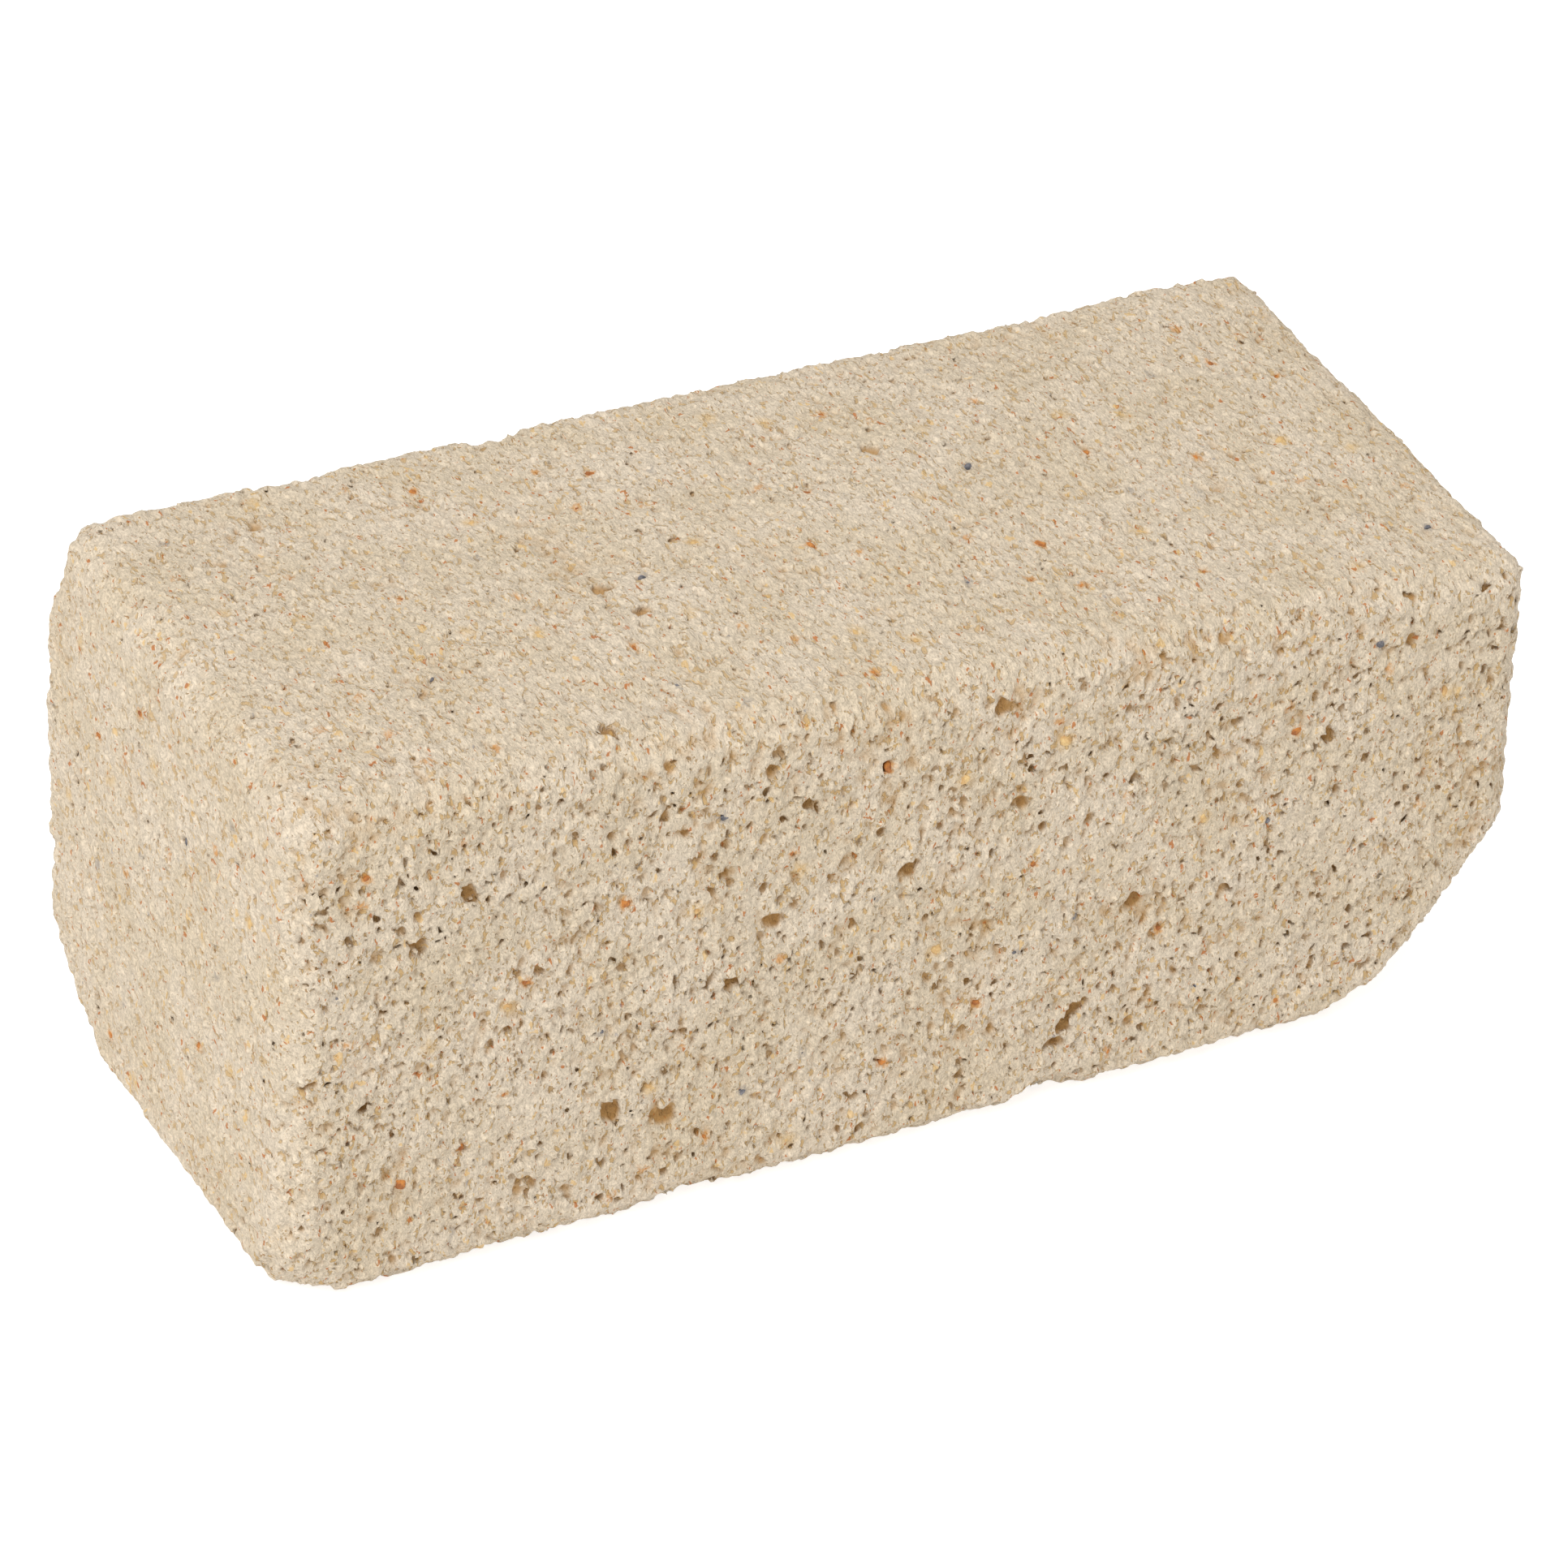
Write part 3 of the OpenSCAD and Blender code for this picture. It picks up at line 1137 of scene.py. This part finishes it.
@dataclass(frozen=True)
class StoneFinish(MineralFinish):
    """The block's matte, powdery, porous mineral."""

    name: str = "porous_chalk"
    roughness: float = 0.95
    gloss: float = 0.15
    relief: float = 0.18
    relief_strength: float = 1.0
    pale: Colour = (0.615, 0.522, 0.404)
    cream: Colour = (0.58, 0.484, 0.356)
    # Painted shade: the warm brown painted into the crevices of the fine relief, where shade and warm bounced
    # light fall.
    crevice_shade: Colour = (0.46, 0.29, 0.11)
    # Painted shade: the dark brown painted into pits and pores, more of it the deeper they sink below the
    # bar's face.
    pit: Colour = (0.42, 0.24, 0.085)
    patch_size: float = 6.0
    crevice_size: float = 0.5
    middle_size: float = 0.4
    fine_size: float = 0.17
    bend_size: float = 0.6
    bend: float = 0.6
    drawn_out: tuple[float, float, float] = (1.2, 0.65, 0.75)
    halos: tuple[Halo, ...] = (
        Halo(GrainKind.RUST, (0.54, 0.24, 0.05), 0.7, 0.75),
        Halo(GrainKind.SLATE, (0.24, 0.22, 0.21), 0.7, 0.5),
        Halo(GrainKind.OCHRE, (0.60, 0.40, 0.17), 1.1, 0.6),
    )
    halo_start: float = 0.2
    specks: tuple[Speck, ...] = (
        Speck(0.5, 0.665, (0.42, 0.14, 0.03), 0.85),
        Speck(0.8, 0.66, (0.62, 0.4, 0.15), 0.65),
        Speck(0.4, 0.675, (0.3, 0.16, 0.055), 0.8),
        Speck(0.5, 0.72, (0.26, 0.25, 0.26), 0.6),
    )
    speck_edge: float = 0.04

    def pattern(self, g: Graph, at: NodeSocket) -> tuple[NodeSocket, NodeSocket]:
        """Pale stone with painted shade in its crevices and pits, a stain round each grain and small specks.

        Args:
            g: The material's writer.
            at: The place, in millimetres.

        Returns:
            The colour and the height.
        """
        coarse = self.attribute(g, "coarse")
        drawn = g.vector("MULTIPLY", at, self.drawn_out)
        bent = g.vector("ADD", drawn, g.vector("SCALE", g.twist(drawn, self.bend_size), self.bend))
        patch = g.span(g.noise(at, self.patch_size, 3.0).outputs[0], 0.35, 0.65)
        colour = self.mixed(g, patch, self.pale, self.cream)
        middle = g.noise(bent, self.middle_size, 2.0, 0.6).outputs[0]
        fine = g.noise(bent, self.fine_size, 3.0, 0.7).outputs[0]
        # Partly the stone's own grain tone and partly painted shade: darker where the same noises lower the
        # bump relief.
        colour = g.vector("SCALE", colour, g.span(middle, 0.3, 0.7, 0.92, 1.07))
        colour = g.vector("SCALE", colour, g.span(fine, 0.32, 0.68, 0.78, 1.16))
        # Painted shade in the crevices: where this noise dips, more on the coarse faces, the colour turns to
        # the crevice brown. The same mask also lowers the bump relief.
        crevice_shade = g.span(g.noise(bent, self.crevice_size, 2.0, 0.6).outputs[0], 0.43, 0.33)
        crevice_shade = g.math("MULTIPLY", crevice_shade, g.math("MULTIPLY_ADD", coarse, 0.25, 0.56))
        colour = self.mixed(g, crevice_shade, colour, self.crevice_shade)
        # Painted shade in pits and pores: the further the surface sinks below the bar's face, the more of the
        # dark brown.
        deep = g.span(self.attribute(g, "sunk"), -0.05, 0.5)
        deep = g.math("MULTIPLY", deep, g.math("MULTIPLY_ADD", coarse, 0.25, 0.75), clamp=True)
        colour = self.mixed(g, deep, colour, self.pit)
        ragged_step = g.math("MULTIPLY", g.swing(bent, 0.4, 3.0, 0.65), 0.75)
        for halo in self.halos:
            gap = g.math("ADD", self.attribute(g, halo.kind.near), ragged_step)
            share = g.span(gap, self.halo_start, halo.reach, halo.strength, 0.0)
            colour = self.mixed(g, share, colour, halo.stain)
        for place, speck in enumerate(self.specks, start=1):
            there = g.vector("ADD", bent, (31.0 * place, 17.0 * place, 7.0))
            lump = g.noise(there, speck.size, 2.0, 0.55).outputs[0]
            share = g.span(lump, speck.start, speck.start + self.speck_edge, 0.0, speck.strength)
            colour = self.mixed(g, share, colour, speck.stain)
        return colour, g.math("MULTIPLY_ADD", crevice_shade, -0.6, g.math("MULTIPLY_ADD", fine, 0.7, middle))

    @staticmethod
    def attribute(g: Graph, name: str) -> NodeSocket:
        """A number that the block's tree wrote on the surface.

        Args:
            g: The material's writer.
            name: The attribute.

        Returns:
            Its value.
        """
        return g.add("ShaderNodeAttribute", attribute_name=name).outputs["Fac"]


@dataclass(frozen=True, kw_only=True)
class GrainFinish(MineralFinish):
    """The finish of one foreign mineral, from its light faces to its dark ones."""

    light: Colour
    dark: Colour
    patch_size: float = 0.6
    fine_size: float = 0.2

    def pattern(self, g: Graph, at: NodeSocket) -> tuple[NodeSocket, NodeSocket]:
        """Light and dark patches.

        Args:
            g: The material's writer.
            at: The place, in millimetres.

        Returns:
            The colour and the height.
        """
        patch = g.span(g.noise(at, self.patch_size, 3.0, 0.65).outputs[0], 0.35, 0.65)
        colour = self.mixed(g, patch, self.dark, self.light)
        return colour, g.noise(at, self.fine_size, 3.0, 0.6).outputs[0]


GRAIN_FINISHES = {
    GrainKind.RUST: GrainFinish(name="rust_grain", light=(0.52, 0.2, 0.04), dark=(0.26, 0.085, 0.02)),
    GrainKind.SLATE: GrainFinish(name="slate_grain", light=(0.2, 0.19, 0.2), dark=(0.06, 0.06, 0.07)),
    GrainKind.OCHRE: GrainFinish(name="ochre_grain", light=(0.62, 0.44, 0.2), dark=(0.5, 0.3, 0.12)),
}


@dataclass(frozen=True)
class Studio:
    """A plain pale floor, soft light from above and the left, and the camera."""

    azimuth: float = -28.15
    elevation: float = 31.19
    roll: float = 1.37
    distance: float = 0.4164
    lens: float = 130.4
    aim_from_centre: tuple[float, float, float] = (-0.00086, -0.00075, -0.00196)
    key_place: tuple[float, float, float] = (-0.42, -0.38, 0.82)
    key_size: float = 0.6
    key_power: float = 7.5
    sky_strength: float = 0.75
    floor_half: float = 2.0
    floor_tone: float = 0.55
    floor_glow: float = 0.7

    def build(self) -> None:
        """Sets up the floor, the lights, the sky and the camera."""
        self.floor()
        self.light()
        world = bpy.data.worlds.new("studio")
        world.use_nodes = True
        sky = world.node_tree.nodes["Background"]
        sky.inputs["Color"].default_value = (1.0, 1.0, 1.0, 1.0)
        sky.inputs["Strength"].default_value = self.sky_strength
        scene = bpy.context.scene
        scene.world = world
        scene.view_settings.view_transform = "Standard"
        scene.view_settings.look = "None"
        self.camera()

    def floor(self) -> None:
        """A wide pale floor just under the block."""
        half = self.floor_half
        mesh = bpy.data.meshes.new("floor")
        corners = [(-half, -half, 0), (half, -half, 0), (half, half, 0), (-half, half, 0)]
        mesh.from_pydata(corners, [], [(0, 1, 2, 3)])
        floor = link(bpy.data.objects.new("floor", mesh))
        made = bpy.data.materials.new("pale_floor")
        made.use_nodes = True
        shader = made.node_tree.nodes["Principled BSDF"]
        shader.inputs["Base Color"].default_value = (self.floor_tone, self.floor_tone, self.floor_tone, 1.0)
        shader.inputs["Roughness"].default_value = 0.9
        shader.inputs["Emission Color"].default_value = (1.0, 1.0, 1.0, 1.0)
        shader.inputs["Emission Strength"].default_value = self.floor_glow
        mesh.materials.append(made)

    def light(self) -> None:
        """A square soft light that faces the block."""
        data = bpy.data.lights.new("key", "AREA")
        data.size = self.key_size
        data.energy = self.key_power
        lamp = link(bpy.data.objects.new("key", data))
        lamp.location = self.key_place
        lamp.rotation_euler = (-Vector(self.key_place)).to_track_quat("-Z", "Y").to_euler()

    def camera(self) -> None:
        """Places the camera by its angles round the middle of the block."""
        low, high = (Vector(c) for c in CAD_BOUNDS)
        aim = (low + high) / 2 + Vector(self.aim_from_centre)
        turn, lift, roll = (math.radians(a) for a in (self.azimuth, self.elevation, self.roll))
        back = Vector((math.sin(turn) * math.cos(lift), -math.cos(turn) * math.cos(lift), math.sin(lift)))
        right = (-back).cross(Vector((0, 0, 1))).normalized()
        up = right.cross(-back)
        right, up = (math.cos(roll) * right + math.sin(roll) * up,
                     math.cos(roll) * up - math.sin(roll) * right)
        data = bpy.data.cameras.new("camera")
        data.lens = self.lens
        data.clip_start = 0.01
        camera = link(bpy.data.objects.new("camera", data))
        place = aim + back * self.distance
        camera.matrix_world = Matrix.Translation(place) @ Matrix((right, up, back)).transposed().to_4x4()
        bpy.context.scene.camera = camera


def main() -> None:
    """Builds the studio, the block and its grains, and fixes each piece to the frame."""
    logging.basicConfig(level=logging.INFO, format="%(message)s")
    Studio().build()
    clusters = {kind: GrainCluster(kind, seed=seed) for seed, kind in enumerate(GrainKind, start=5)}
    places = {kind: cluster.points() for kind, cluster in clusters.items()}
    block = PorousBlock(SawnBar())
    block.dress(block.build(places, StoneFinish().material()))
    for helper in places.values():
        remove(helper)
    for kind, cluster in clusters.items():
        cluster.dress(cluster.build(GRAIN_FINISHES[kind].material()))


if __name__ == "__main__":
    main()
